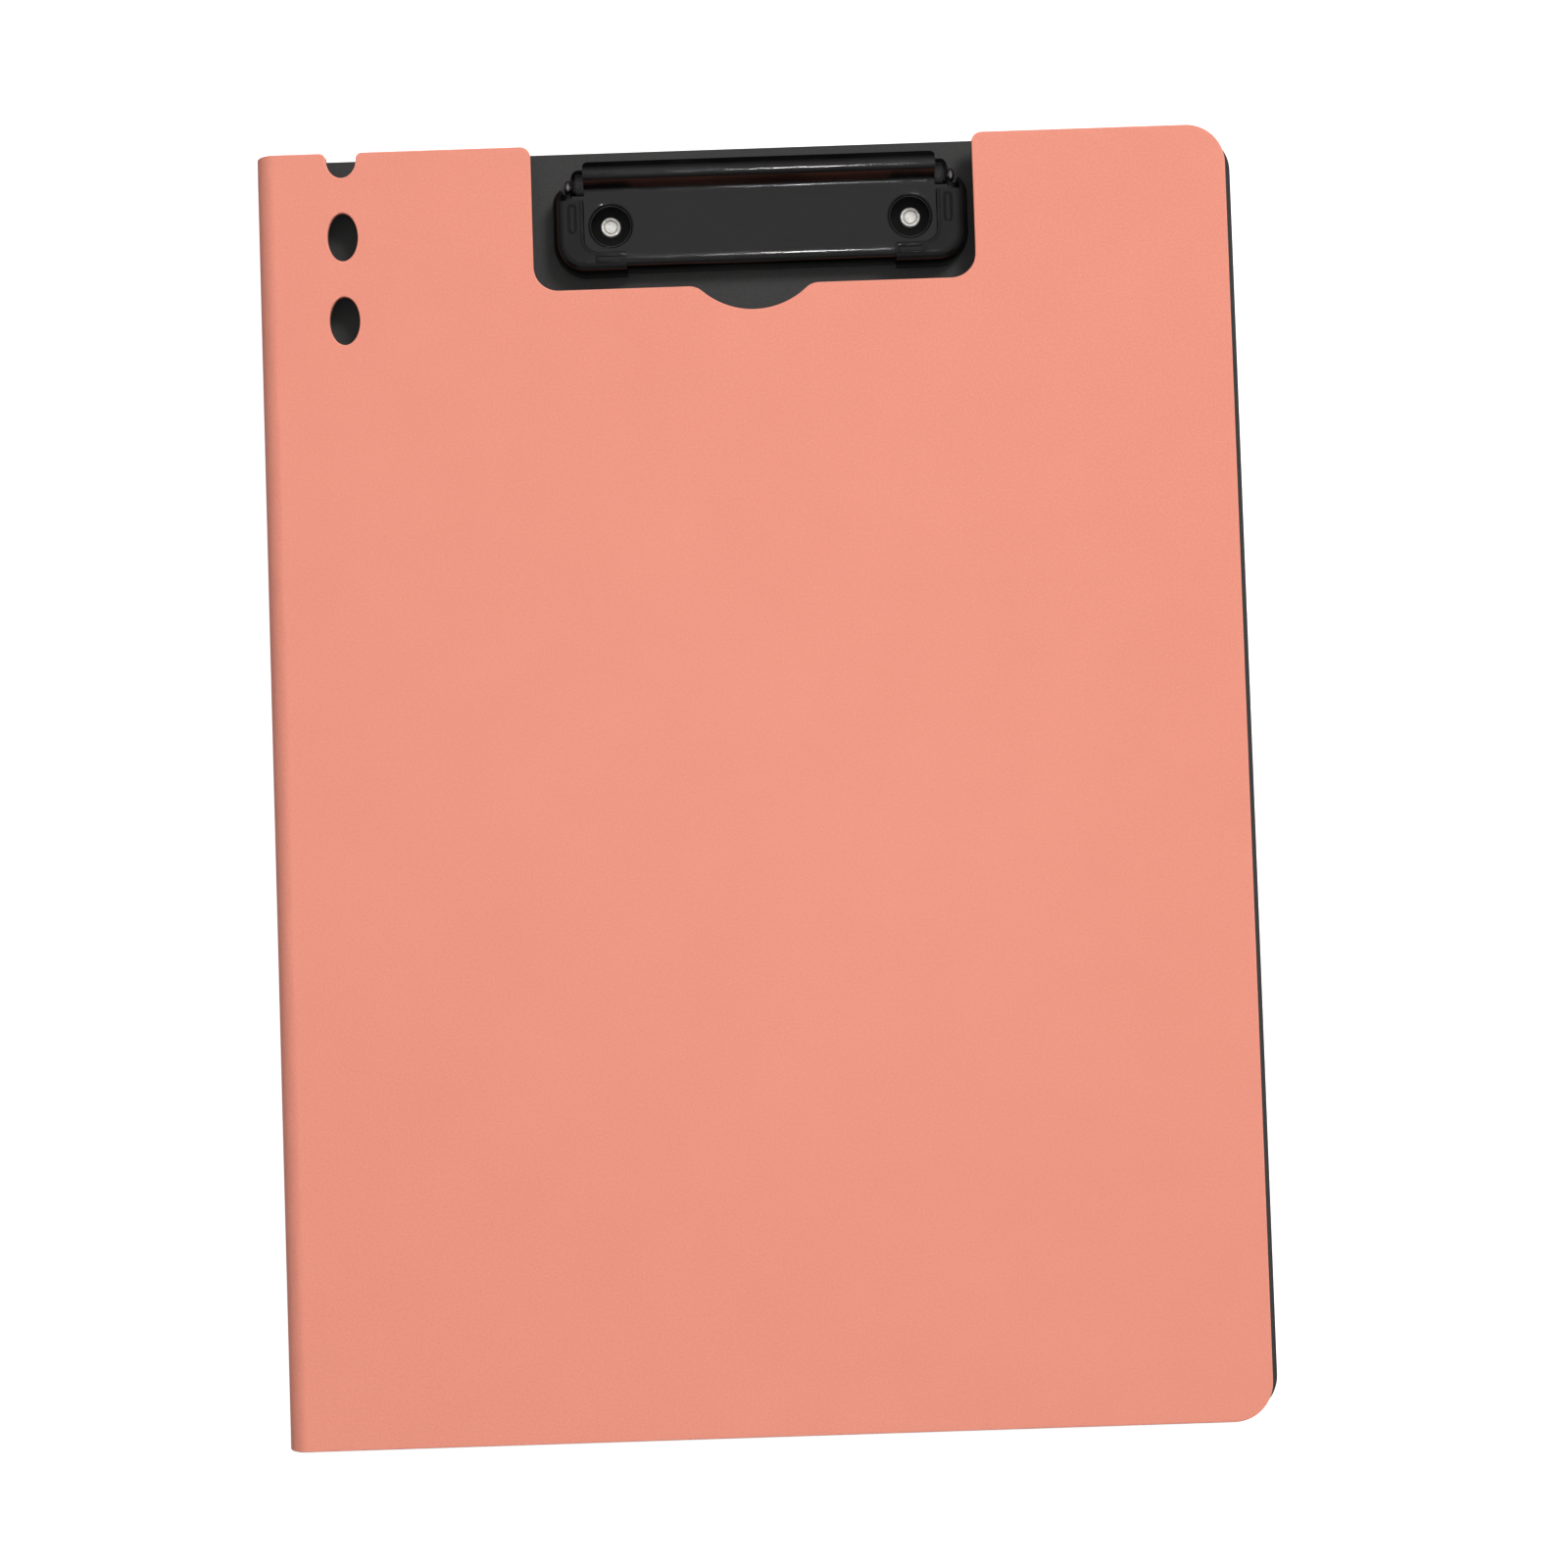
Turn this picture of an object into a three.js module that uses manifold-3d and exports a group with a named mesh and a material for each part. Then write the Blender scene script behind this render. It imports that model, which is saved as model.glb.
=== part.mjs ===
import * as THREE from 'three';
import { mergeVertices } from 'three/addons/utils/BufferGeometryUtils.js';
import Module from 'manifold-3d';

// A folding A4 clipboard, closed and lying on its back. Millimetres, +Z up.
// +Y points to the clip at the head, +X to the free edge, and the spine runs along -X.
// The origin is the middle of the back face.

// Folder
const HEIGHT = 315;
const WIDTH = 240;
const THICKNESS = 10;
const SHEET = 1.25; // coloured outer sheet
const LINING = 0.5; // dark inner layer of the cover and the spine
const BOARD = 1.5; // stiff dark writing board
const FREE_EDGE_SETBACK = 2.5; // the board shows this much beyond the front cover
const CORNER_R = 9.5;

// Rounded spine with a thin living hinge on each side of its stiff middle
const BEND_R = THICKNESS / 2;
const SPINE_X = BEND_R - WIDTH / 2;
const SPINE_HALF_ANGLE = 50;
const WEB = 0.5;
const WEB_CLEARANCE_ANGLE = 2;

// Window in the front cover, which leaves the clip free
const WINDOW = { left: -52.3, right: 55.7, bottom: 121.8, innerR: 6, outerR: 2.5 };
const THUMB = { x: 1.4, depth: 6.1, radius: 19, shoulder: 5 };

// Pen slots near the spine: two ovals and a half oval that is open at the head
const SLOT = {
  x: -98.75,
  halfWidth: 3.7,
  halfLength: 5.9,
  pitch: 20.6,
  lowest: 116.1,
  shoulder: 1.5,
};

// Clip. X is measured from the clip's own middle, which stands at CLIP_X.
const CLIP_X = 3.5;
const PIVOT = { y: 148.1, z: 5.8 };
const STEEL = 0.8;
const FIT_GAP = 0.3;
const JAW = { halfWidth: 50, front: 127, rear: 147.5, top: 8.75, frontR: 7, rearR: 4, edgeR: 3.5 };
const JAW_SIDE = { start: 133, rise: 1.5 }; // behind start, the side walls end this much higher
const JAW_REAR_GAP = { halfWidth: 48, start: 144 }; // the rear wall is cut away between the corners
const LIP = { halfWidth: 43, start: 139.5, riseRun: 6.4, riseR: 1.6, riseAngle: 55 };
const LIP_CREST = { run: 2.4, r: 1.9, angle: -90, endRun: 1.8 };
const ACCESS_HOLE = { x: 36.7, y: 137.7, r: 5.2 };
const EAR = { inner: 41.5, outer: 46.3, r: 4.2, lowerR: 2.9 };
const BASE = {
  halfWidth: 45.2,
  front: 133,
  rear: 150.8,
  heelHalfWidth: 40,
  heel: 153,
  sheet: 1,
  earR: 2.7,
};
const ROD = { r: 0.8, headR: 1.6, head: 0.8 };
const SPRING = {
  x: 18,
  wire: 0.8,
  meanR: 1.45,
  pitch: 0.95,
  turns: 5,
  baseLeg: 4,
  jawLeg: 4,
  jawLegAngle: 55,
};
const RIVET = {
  x: 36.9,
  y: 138.3,
  shankR: 1.6,
  backHeadR: 4.5,
  backHead: 0.75,
  backHeadEdge: 0.25,
  curlR: 2.5,
  curl: 1.3,
  boreR: 1.4,
};
const PAD = {
  clearance: 0.25,
  thickness: 0.75,
  edgeR: 2.7,
  legX: 43.2,
  legY: 131.1,
  endX: 33,
  endY: 143.9,
  innerR: 3.5,
};

const BOARD_TOP = SHEET + BOARD;
const BASE_TOP = BOARD_TOP + BASE.sheet;
const COVER_BOTTOM = THICKNESS - SHEET;
const FAR = 80; // reach of the plain cutting blocks
const OVERCUT = 1; // how far a cutting tool runs past the sheet it cuts

const wasm = await Module();
wasm.setup();

function radians(degrees) {
  return THREE.MathUtils.degToRad(degrees);
}

// ---- solids ----

function weld(geometry) {
  const bare = geometry.clone();
  bare.deleteAttribute('normal');
  bare.deleteAttribute('uv');
  const merged = mergeVertices(bare, 1e-4);
  const source = merged.index.array;
  const kept = [];
  for (let i = 0; i < source.length; i += 3) {
    const [a, b, c] = [source[i], source[i + 1], source[i + 2]];
    if (a !== b && b !== c && c !== a) kept.push(a, b, c);
  }
  merged.setIndex(kept);
  return merged;
}

function solid(geometry) {
  const welded = weld(geometry);
  const vertProperties = new Float32Array(welded.attributes.position.array);
  const triVerts = new Uint32Array(welded.index.array);
  return new wasm.Manifold(new wasm.Mesh({ numProp: 3, vertProperties, triVerts }));
}

function surface(manifold) {
  const mesh = manifold.getMesh();
  const geometry = new THREE.BufferGeometry();
  geometry.setAttribute('position', new THREE.BufferAttribute(mesh.vertProperties, 3));
  geometry.setIndex(new THREE.BufferAttribute(mesh.triVerts, 1));
  return geometry;
}

function block(low, high) {
  const size = high.map((value, axis) => value - low[axis]);
  const geometry = new THREE.BoxGeometry(...size);
  geometry.translate(...high.map((value, axis) => (value + low[axis]) / 2));
  return solid(geometry);
}

// A flat outline in X and Y, raised from z = bottom to z = top.
function plate(shape, bottom, top, curveSegments = 8) {
  const geometry = new THREE.ExtrudeGeometry(shape, {
    depth: top - bottom,
    bevelEnabled: false,
    curveSegments,
  });
  return solid(geometry.translate(0, 0, bottom));
}

// A section drawn in Y and Z, swept along X.
function sweptAlongX(shape, from, to, curveSegments = 8) {
  const geometry = new THREE.ExtrudeGeometry(shape, {
    depth: to - from,
    bevelEnabled: false,
    curveSegments,
  });
  const axes = new THREE.Matrix4().makeBasis(
    new THREE.Vector3(0, 1, 0),
    new THREE.Vector3(0, 0, 1),
    new THREE.Vector3(1, 0, 0),
  );
  return solid(geometry.applyMatrix4(axes).translate(from, 0, 0));
}

// A section drawn in X and Z, swept over the folder's whole height along Y.
function sweptAlongY(shape) {
  const geometry = new THREE.ExtrudeGeometry(shape, {
    depth: HEIGHT,
    bevelEnabled: false,
    curveSegments: 8,
  });
  const axes = new THREE.Matrix4().makeBasis(
    new THREE.Vector3(1, 0, 0),
    new THREE.Vector3(0, 0, 1),
    new THREE.Vector3(0, -1, 0),
  );
  return solid(geometry.applyMatrix4(axes).translate(0, HEIGHT / 2, 0));
}

function upright(x, y, r, bottom, top) {
  const geometry = new THREE.CylinderGeometry(r, r, top - bottom, 32);
  geometry.rotateX(Math.PI / 2).translate(x, y, (top + bottom) / 2);
  return solid(geometry);
}

function crosswise(r, from, to, segments = 20) {
  const geometry = new THREE.CylinderGeometry(r, r, to - from, segments);
  geometry.rotateZ(Math.PI / 2).translate((to + from) / 2, PIVOT.y, PIVOT.z);
  return solid(geometry);
}

// The same solid on both sides of the clip's middle, for cutting or joining at once.
function bothSides(part) {
  return part.add(part.mirror([1, 0, 0]));
}

// ---- folder ----

function panelShape(left, right) {
  const half = HEIGHT / 2;
  const shape = new THREE.Shape();
  shape.moveTo(left, -half);
  shape.lineTo(right - CORNER_R, -half);
  shape.absarc(right - CORNER_R, CORNER_R - half, CORNER_R, -Math.PI / 2, 0, false);
  shape.lineTo(right, half - CORNER_R);
  shape.absarc(right - CORNER_R, half - CORNER_R, CORNER_R, 0, Math.PI / 2, false);
  return shape;
}

function addClipWindow(shape) {
  const { left, right, bottom, innerR, outerR } = WINDOW;
  const head = HEIGHT / 2;
  const rise = THUMB.radius - THUMB.depth;
  const reach = Math.sqrt((THUMB.radius + THUMB.shoulder) ** 2 - (rise + THUMB.shoulder) ** 2);
  const meet = Math.atan2(rise + THUMB.shoulder, reach);
  const shoulderY = bottom - THUMB.shoulder;
  shape.lineTo(right + outerR, head);
  shape.absarc(right + outerR, head - outerR, outerR, Math.PI / 2, Math.PI, false);
  shape.absarc(right - innerR, bottom + innerR, innerR, 0, -Math.PI / 2, true);
  shape.absarc(THUMB.x + reach, shoulderY, THUMB.shoulder, Math.PI / 2, Math.PI - meet, false);
  shape.absarc(THUMB.x, bottom + rise, THUMB.radius, -meet, meet - Math.PI, true);
  shape.absarc(THUMB.x - reach, shoulderY, THUMB.shoulder, meet, Math.PI / 2, false);
  shape.absarc(left + innerR, bottom + innerR, innerR, -Math.PI / 2, -Math.PI, true);
  shape.absarc(left - outerR, head - outerR, outerR, 0, Math.PI / 2, false);
}

function addOpenPenSlot(shape) {
  const { x, halfWidth, halfLength, pitch, lowest, shoulder } = SLOT;
  const head = HEIGHT / 2;
  const depth = head - shoulder - (lowest + 2 * pitch - halfLength);
  const corner = halfWidth + shoulder;
  shape.lineTo(x + corner, head);
  shape.absarc(x + corner, head - shoulder, shoulder, Math.PI / 2, Math.PI, false);
  shape.absellipse(x, head - shoulder, halfWidth, depth, 0, -Math.PI, true);
  shape.absarc(x - corner, head - shoulder, shoulder, 0, Math.PI / 2, false);
}

function frontShape() {
  const shape = panelShape(SPINE_X, WIDTH / 2 - FREE_EDGE_SETBACK);
  addClipWindow(shape);
  addOpenPenSlot(shape);
  shape.lineTo(SPINE_X, HEIGHT / 2);
  for (let i = 0; i < 2; i += 1) {
    const slot = new THREE.Path();
    const y = SLOT.lowest + i * SLOT.pitch;
    slot.absellipse(SLOT.x, y, SLOT.halfWidth, SLOT.halfLength, 0, 2 * Math.PI, true);
    shape.holes.push(slot);
  }
  return shape;
}

function frontCover() {
  return plate(frontShape(), COVER_BOTTOM, THICKNESS);
}

function frontLining() {
  return plate(frontShape(), COVER_BOTTOM - LINING, COVER_BOTTOM);
}

function backPanel(bottom, top) {
  const shape = panelShape(SPINE_X, WIDTH / 2);
  shape.lineTo(SPINE_X, HEIGHT / 2);
  const hole = upright(RIVET.x, RIVET.y, RIVET.shankR + FIT_GAP, bottom - OVERCUT, top + OVERCUT);
  return plate(shape, bottom, top).subtract(bothSides(hole).translate([CLIP_X, 0, 0]));
}

function backCover() {
  const recess = upright(RIVET.x, RIVET.y, RIVET.backHeadR + FIT_GAP, -OVERCUT, RIVET.backHead);
  return backPanel(0, SHEET).subtract(bothSides(recess).translate([CLIP_X, 0, 0]));
}

function writingBoard() {
  return backPanel(SHEET, BOARD_TOP);
}

// A band of the spine's round section, between two radii and two angles from +X.
function spineBand(innerR, outerR, from, to) {
  const shape = new THREE.Shape();
  shape.absarc(SPINE_X, BEND_R, outerR, radians(from), radians(to), false);
  shape.absarc(SPINE_X, BEND_R, innerR, radians(to), radians(from), true);
  return sweptAlongY(shape);
}

function spineCover() {
  return spineBand(BEND_R - SHEET, BEND_R, 180 - SPINE_HALF_ANGLE, 180 + SPINE_HALF_ANGLE);
}

function spineLining() {
  const outerR = BEND_R - SHEET;
  return spineBand(outerR - LINING, outerR, 180 - SPINE_HALF_ANGLE, 180 + SPINE_HALF_ANGLE);
}

function crease(from, to) {
  const clear = WEB_CLEARANCE_ANGLE;
  return spineBand(BEND_R - WEB, BEND_R, from + clear, to - clear);
}

// ---- clip, drawn about its own middle and moved to CLIP_X at the end ----

// A bent strip of sheet steel. Each bend is a straight run and then an arc; left is positive.
function stripShape(start, thickness, bends) {
  const upper = [];
  const lower = [];
  const at = start.clone();
  let heading = 0;
  const mark = () => {
    const side = new THREE.Vector2(-Math.sin(heading), Math.cos(heading));
    upper.push(at.clone().addScaledVector(side, thickness / 2));
    lower.push(at.clone().addScaledVector(side, -thickness / 2));
  };
  const advance = (length) => {
    at.addScaledVector(new THREE.Vector2(Math.cos(heading), Math.sin(heading)), length);
  };
  mark();
  for (const { run, radius = 0, turn = 0 } of bends) {
    advance(run);
    mark();
    const steps = Math.ceil(Math.abs(turn) / 12);
    const step = steps ? radians(turn) / steps : 0;
    for (let i = 0; i < steps; i += 1) {
      heading += step / 2;
      advance(2 * radius * Math.sin(Math.abs(step) / 2));
      heading += step / 2;
      mark();
    }
  }
  return new THREE.Shape([...lower, ...upper.reverse()]);
}

function lip() {
  const start = new THREE.Vector2(LIP.start, JAW.top - STEEL / 2);
  const section = stripShape(start, STEEL, [
    { run: LIP.riseRun, radius: LIP.riseR, turn: LIP.riseAngle },
    { run: LIP_CREST.run, radius: LIP_CREST.r, turn: LIP_CREST.angle },
    { run: LIP_CREST.endRun },
  ]);
  return sweptAlongX(section, -LIP.halfWidth, LIP.halfWidth);
}

// The jaw's outer form, grown outwards all round by the given amount, with its upper edge rounded.
function jawForm(grow, edgeR) {
  const halfWidth = JAW.halfWidth + grow;
  const front = JAW.front - grow;
  const rear = JAW.rear + grow;
  const frontR = JAW.frontR + grow;
  const rearR = JAW.rearR + grow;
  const shape = new THREE.Shape();
  shape.absarc(halfWidth - frontR, front + frontR, frontR, -Math.PI / 2, 0, false);
  shape.absarc(halfWidth - rearR, rear - rearR, rearR, 0, Math.PI / 2, false);
  shape.absarc(rearR - halfWidth, rear - rearR, rearR, Math.PI / 2, Math.PI, false);
  shape.absarc(frontR - halfWidth, front + frontR, frontR, Math.PI, 1.5 * Math.PI, false);
  const geometry = new THREE.ExtrudeGeometry(shape, {
    depth: THICKNESS,
    bevelThickness: edgeR,
    bevelSize: edgeR,
    bevelOffset: -edgeR,
    bevelSegments: 4,
    curveSegments: 5,
  });
  return solid(geometry.translate(0, 0, JAW.top + grow - edgeR - THICKNESS));
}

function earSection() {
  const shape = new THREE.Shape();
  shape.absarc(PIVOT.y, PIVOT.z, EAR.r, 0, Math.PI, false);
  shape.absarc(PIVOT.y, PIVOT.z, EAR.lowerR, radians(210), radians(330), false);
  return shape;
}

function earHollowSection() {
  const r = EAR.r - STEEL;
  const shape = new THREE.Shape();
  shape.absarc(PIVOT.y, PIVOT.z, r, 0, Math.PI, false);
  shape.lineTo(PIVOT.y - r, 0);
  shape.lineTo(PIVOT.y + r, 0);
  return shape;
}

function jawPlate() {
  const underside = JAW.top - STEEL;
  const frontFoot = BOARD_TOP + FIT_GAP;
  const sideFoot = frontFoot + JAW_SIDE.rise;
  const gap = JAW_REAR_GAP;
  const shell = jawForm(0, JAW.edgeR)
    .subtract(jawForm(-STEEL, JAW.edgeR - STEEL))
    .subtract(block([-FAR, 0, -FAR], [FAR, 2 * HEIGHT, frontFoot]))
    .subtract(block([-FAR, JAW_SIDE.start, -FAR], [FAR, 2 * HEIGHT, sideFoot]))
    .subtract(block([-gap.halfWidth, gap.start, -FAR], [gap.halfWidth, 2 * HEIGHT, underside]));
  const ear = sweptAlongX(earSection(), EAR.inner, EAR.outer, 10);
  const hollow = sweptAlongX(earHollowSection(), EAR.inner + STEEL, EAR.outer - STEEL, 10);
  const openInner = block(
    [EAR.inner - OVERCUT, PIVOT.y - EAR.r - STEEL, 0],
    [EAR.outer - STEEL, 2 * HEIGHT, PIVOT.z],
  );
  const rodHole = crosswise(ROD.r + FIT_GAP, EAR.inner - OVERCUT, EAR.outer + OVERCUT);
  const { x, y, r } = ACCESS_HOLE;
  const accessHole = upright(x, y, r, underside - OVERCUT, JAW.top + OVERCUT);
  return shell
    .add(lip())
    .add(bothSides(ear))
    .subtract(bothSides(hollow))
    .subtract(bothSides(openInner))
    .subtract(bothSides(rodHole))
    .subtract(bothSides(accessHole));
}

function cornerPad() {
  const { clearance, thickness, edgeR, legX, legY, endX, endY, innerR } = PAD;
  const ell = new THREE.Shape();
  ell.moveTo(endX, 0);
  ell.lineTo(FAR, 0);
  ell.lineTo(FAR, endY);
  ell.lineTo(legX, endY);
  ell.absarc(legX - innerR, legY + innerR, innerR, 0, -Math.PI / 2, true);
  ell.lineTo(endX, legY);
  const foot = BOARD_TOP + 3 * FIT_GAP;
  return jawForm(clearance + thickness, edgeR)
    .subtract(jawForm(clearance, edgeR - thickness))
    .intersect(plate(ell, foot, 2 * THICKNESS));
}

function basePlate() {
  const { halfWidth, front, rear, heelHalfWidth, heel, earR } = BASE;
  const outline = new THREE.Shape();
  outline.moveTo(-halfWidth, front);
  outline.lineTo(halfWidth, front);
  outline.lineTo(halfWidth, rear);
  outline.lineTo(heelHalfWidth, rear);
  outline.lineTo(heelHalfWidth, heel);
  outline.lineTo(-heelHalfWidth, heel);
  outline.lineTo(-heelHalfWidth, rear);
  outline.lineTo(-halfWidth, rear);
  const ear = new THREE.Shape();
  ear.absarc(PIVOT.y, PIVOT.z, earR, 0, Math.PI, false);
  ear.lineTo(PIVOT.y - earR, BOARD_TOP);
  ear.lineTo(PIVOT.y + earR, BOARD_TOP);
  const rodHole = crosswise(ROD.r + FIT_GAP, halfWidth - 2 * BASE.sheet, halfWidth + OVERCUT);
  const rivetHoleR = RIVET.shankR + FIT_GAP;
  const rivetHole = upright(RIVET.x, RIVET.y, rivetHoleR, BOARD_TOP - OVERCUT, BASE_TOP + OVERCUT);
  return plate(outline, BOARD_TOP, BASE_TOP)
    .add(bothSides(sweptAlongX(ear, halfWidth - BASE.sheet, halfWidth)))
    .subtract(bothSides(rodHole))
    .subtract(bothSides(rivetHole));
}

function pivotRod() {
  const headStart = EAR.outer + FIT_GAP;
  const head = crosswise(ROD.headR, headStart, headStart + ROD.head);
  const reach = headStart + ROD.head / 2;
  return crosswise(ROD.r, -reach, reach).add(bothSides(head));
}

// The path runs down the jaw leg, round the rod and out along the base leg.
function torsionSpring() {
  const { x, meanR, pitch, turns, baseLeg, jawLeg, jawLegAngle } = SPRING;
  const from = 90 + jawLegAngle;
  const to = 270 + 360 * turns;
  const onCoil = (angle) => new THREE.Vector3(
    x + (pitch * (angle - from)) / 360,
    PIVOT.y + meanR * Math.cos(radians(angle)),
    PIVOT.z + meanR * Math.sin(radians(angle)),
  );
  const points = [];
  const rise = radians(jawLegAngle);
  const jawWay = new THREE.Vector3(0, Math.cos(rise), Math.sin(rise));
  for (const length of [jawLeg, jawLeg / 2]) {
    points.push(onCoil(from).addScaledVector(jawWay, length));
  }
  const stepsOfCoil = 15 * turns;
  for (let i = 0; i <= stepsOfCoil; i += 1) {
    points.push(onCoil(from + ((to - from) * i) / stepsOfCoil));
  }
  for (const length of [baseLeg / 2, baseLeg]) {
    points.push(onCoil(to).add(new THREE.Vector3(0, length, 0)));
  }
  const wire = new THREE.Shape();
  wire.absarc(0, 0, SPRING.wire / 2, 0, 2 * Math.PI, false);
  const geometry = new THREE.ExtrudeGeometry(wire, {
    steps: 96,
    curveSegments: 4,
    extrudePath: new THREE.CatmullRomCurve3(points, false, 'centripetal'),
  });
  return solid(geometry);
}

function rivet() {
  const { shankR, backHeadR, backHead, backHeadEdge, curlR, curl, boreR } = RIVET;
  const middle = (curlR + boreR) / 2;
  const rollR = (curlR - boreR) / 2;
  const rollZ = BASE_TOP + curl / 2;
  const profile = [
    [0, 0],
    [backHeadR - backHeadEdge, 0],
    [backHeadR, backHeadEdge],
    [backHeadR, backHead],
    [shankR, backHead],
    [shankR, BASE_TOP],
    [curlR - backHeadEdge, BASE_TOP],
  ];
  for (let angle = 0; angle <= 180; angle += 30) {
    const turn = radians(angle);
    profile.push([middle + rollR * Math.cos(turn), rollZ + (curl / 2) * Math.sin(turn)]);
  }
  profile.push([boreR, BASE_TOP], [0, BASE_TOP]);
  const points = profile.map(([r, z]) => new THREE.Vector2(r, z));
  const geometry = new THREE.LatheGeometry(points, 24);
  return solid(geometry.rotateX(Math.PI / 2).translate(RIVET.x, RIVET.y, 0));
}

// ---- finishes ----

const coral = { color: 0xf29a87, roughness: 0.62, metalness: 0 };
const darkGrey = { color: 0x3e3e3d, roughness: 0.7, metalness: 0 };
const blackPaint = { color: 0x1a1a1b, roughness: 0.28, metalness: 0.2 };
const blackPlastic = { color: 0x141416, roughness: 0.35, metalness: 0 };
const nickel = { color: 0xcfcac2, roughness: 0.25, metalness: 1 };
const springSteel = { color: 0x8f9092, roughness: 0.35, metalness: 1 };

// ---- assembly ----

const clipboard = new THREE.Group();
const clip = new THREE.Group();
clip.position.x = CLIP_X;
clipboard.add(clip);

function place(group, name, manifold, finish) {
  const mesh = new THREE.Mesh(surface(manifold), new THREE.MeshStandardMaterial(finish));
  mesh.name = name;
  group.add(mesh);
}

function placePair(name, manifold, finish) {
  place(clip, `right_${name}`, manifold, finish);
  place(clip, `left_${name}`, manifold.mirror([1, 0, 0]), finish);
}

place(clipboard, 'back_cover', backCover(), coral);
place(clipboard, 'writing_board', writingBoard(), darkGrey);
place(clipboard, 'spine_cover', spineCover(), coral);
place(clipboard, 'spine_lining', spineLining(), darkGrey);
place(clipboard, 'front_crease', crease(90, 180 - SPINE_HALF_ANGLE), coral);
place(clipboard, 'back_crease', crease(180 + SPINE_HALF_ANGLE, 270), coral);
place(clipboard, 'front_cover', frontCover(), coral);
place(clipboard, 'front_lining', frontLining(), darkGrey);
place(clip, 'clip_base_plate', basePlate(), blackPaint);
place(clip, 'clip_jaw_plate', jawPlate(), blackPaint);
place(clip, 'pivot_rod', pivotRod(), springSteel);
placePair('torsion_spring', torsionSpring(), springSteel);
placePair('corner_pad', cornerPad(), blackPlastic);
placePair('rivet', rivet(), nickel);

export default clipboard;
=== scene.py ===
"""A folding A4 clipboard round its CAD frame: coral cover, dark board and a black lever clip."""

import math

import bmesh
import bpy
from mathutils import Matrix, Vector
from mathutils.geometry import tessellate_polygon


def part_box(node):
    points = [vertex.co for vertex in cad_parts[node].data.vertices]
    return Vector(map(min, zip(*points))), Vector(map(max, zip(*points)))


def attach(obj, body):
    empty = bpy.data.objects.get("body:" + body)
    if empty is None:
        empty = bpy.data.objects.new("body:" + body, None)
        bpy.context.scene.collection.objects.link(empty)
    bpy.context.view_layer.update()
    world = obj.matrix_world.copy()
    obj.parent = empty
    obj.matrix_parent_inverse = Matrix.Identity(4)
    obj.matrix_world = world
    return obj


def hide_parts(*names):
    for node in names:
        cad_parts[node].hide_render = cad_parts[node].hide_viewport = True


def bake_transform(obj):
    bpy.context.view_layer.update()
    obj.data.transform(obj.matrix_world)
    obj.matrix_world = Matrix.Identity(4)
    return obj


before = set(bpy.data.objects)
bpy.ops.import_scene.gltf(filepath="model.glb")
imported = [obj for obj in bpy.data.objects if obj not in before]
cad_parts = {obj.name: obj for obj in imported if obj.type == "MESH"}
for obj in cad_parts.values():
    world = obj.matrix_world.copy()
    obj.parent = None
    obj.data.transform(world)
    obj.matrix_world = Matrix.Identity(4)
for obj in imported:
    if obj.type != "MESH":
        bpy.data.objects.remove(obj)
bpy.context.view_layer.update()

MM = 0.001

# ---- sizes in millimetres ----
# The folder follows the CAD. The pads, ears, rod heads, rear gap and access holes differ from it a little.

def box_mm(node):
    """The low and high corners of a CAD node's box."""
    return [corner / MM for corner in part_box(node)]


board_low, board_high = box_mm("writing_board")
cover_low, cover_high = box_mm("front_cover")
back_low, back_high = box_mm("back_cover")
lining_low, lining_high = box_mm("front_lining")
spine_low = box_mm("spine_cover")[0]
jaw_low, jaw_high = box_mm("clip_jaw_plate")
base_low = box_mm("clip_base_plate")[0]
rod_low, rod_high = box_mm("pivot_rod")
rivet_low, rivet_high = box_mm("right_rivet")

HEAD = cover_high.y  # the folder's end where the clip is
SPINE_X = cover_low.x
BEND_R = SPINE_X - spine_low.x
SPINE_HALF_ANGLE = 50
CORNER_R = 9.5
CUT_EDGE = 0.3  # rounding of the sheets' cut edges
LINING_EDGE = 0.12
WEB = 0.5  # thickness of a crease at its thinnest

WINDOW = {"left": -52.3, "right": 55.7, "bottom": 121.8, "inner_r": 6, "outer_r": 2.5}
THUMB = {"x": 1.4, "depth": 6.1, "radius": 19, "shoulder": 5}
SLOT = {
    "x": -98.75, "half_width": 3.7, "half_length": 5.9,
    "pitch": 20.6, "lowest": 116.1, "shoulder": 1.5,
}

CLIP_X = (jaw_low.x + jaw_high.x) / 2
PIVOT_Y, PIVOT_Z = 148.1, (rod_low.z + rod_high.z) / 2
STEEL = 0.8
JAW = {
    "half": (jaw_high.x - jaw_low.x) / 2, "front": jaw_low.y, "rear": 147.5,
    "top": 8.75, "foot": jaw_low.z + 0.15,
}
JAW_R = {"front": 7, "rear": 4, "edge": 3.5}
LIP_HALF = 43
REAR_GAP_HALF = 48.8
ACCESS = {"x": 36.7, "y": 137.7, "r": 4.9, "roll": 0.95}
EAR = {"inner": 43.02, "outer": 46.3, "r": 4.2, "lower_r": 2.9, "dome": 1.8, "hole": 1.15}
EAR_LOBE = {"start": 12, "blend": 30}  # degrees: where the lower, smaller part begins, and its blend
PAD = {"grow": 1.0, "thickness": 0.7, "edge": 3.7, "inner_r": 3.5, "bead": 0.28}
PAD_LEGS = {"x": 43.2, "y": 131.1, "end_x": 33, "end_y": 143.9, "wrap_x": 48.9}
PAD_RECESS = 0.14  # how far the pad's face lies below its brim
RIDGE = {"r": 0.3, "upright": (45.2, 46.8, 136.1, 142.8), "level": (33.6, 40.3, 128.6, 130.1)}
ROD = {"r": 0.8, "head_r": 1.7, "head": 1.5, "dome": 1.0, "beyond_cad": 0.7}


# ---- plane geometry ----

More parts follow.
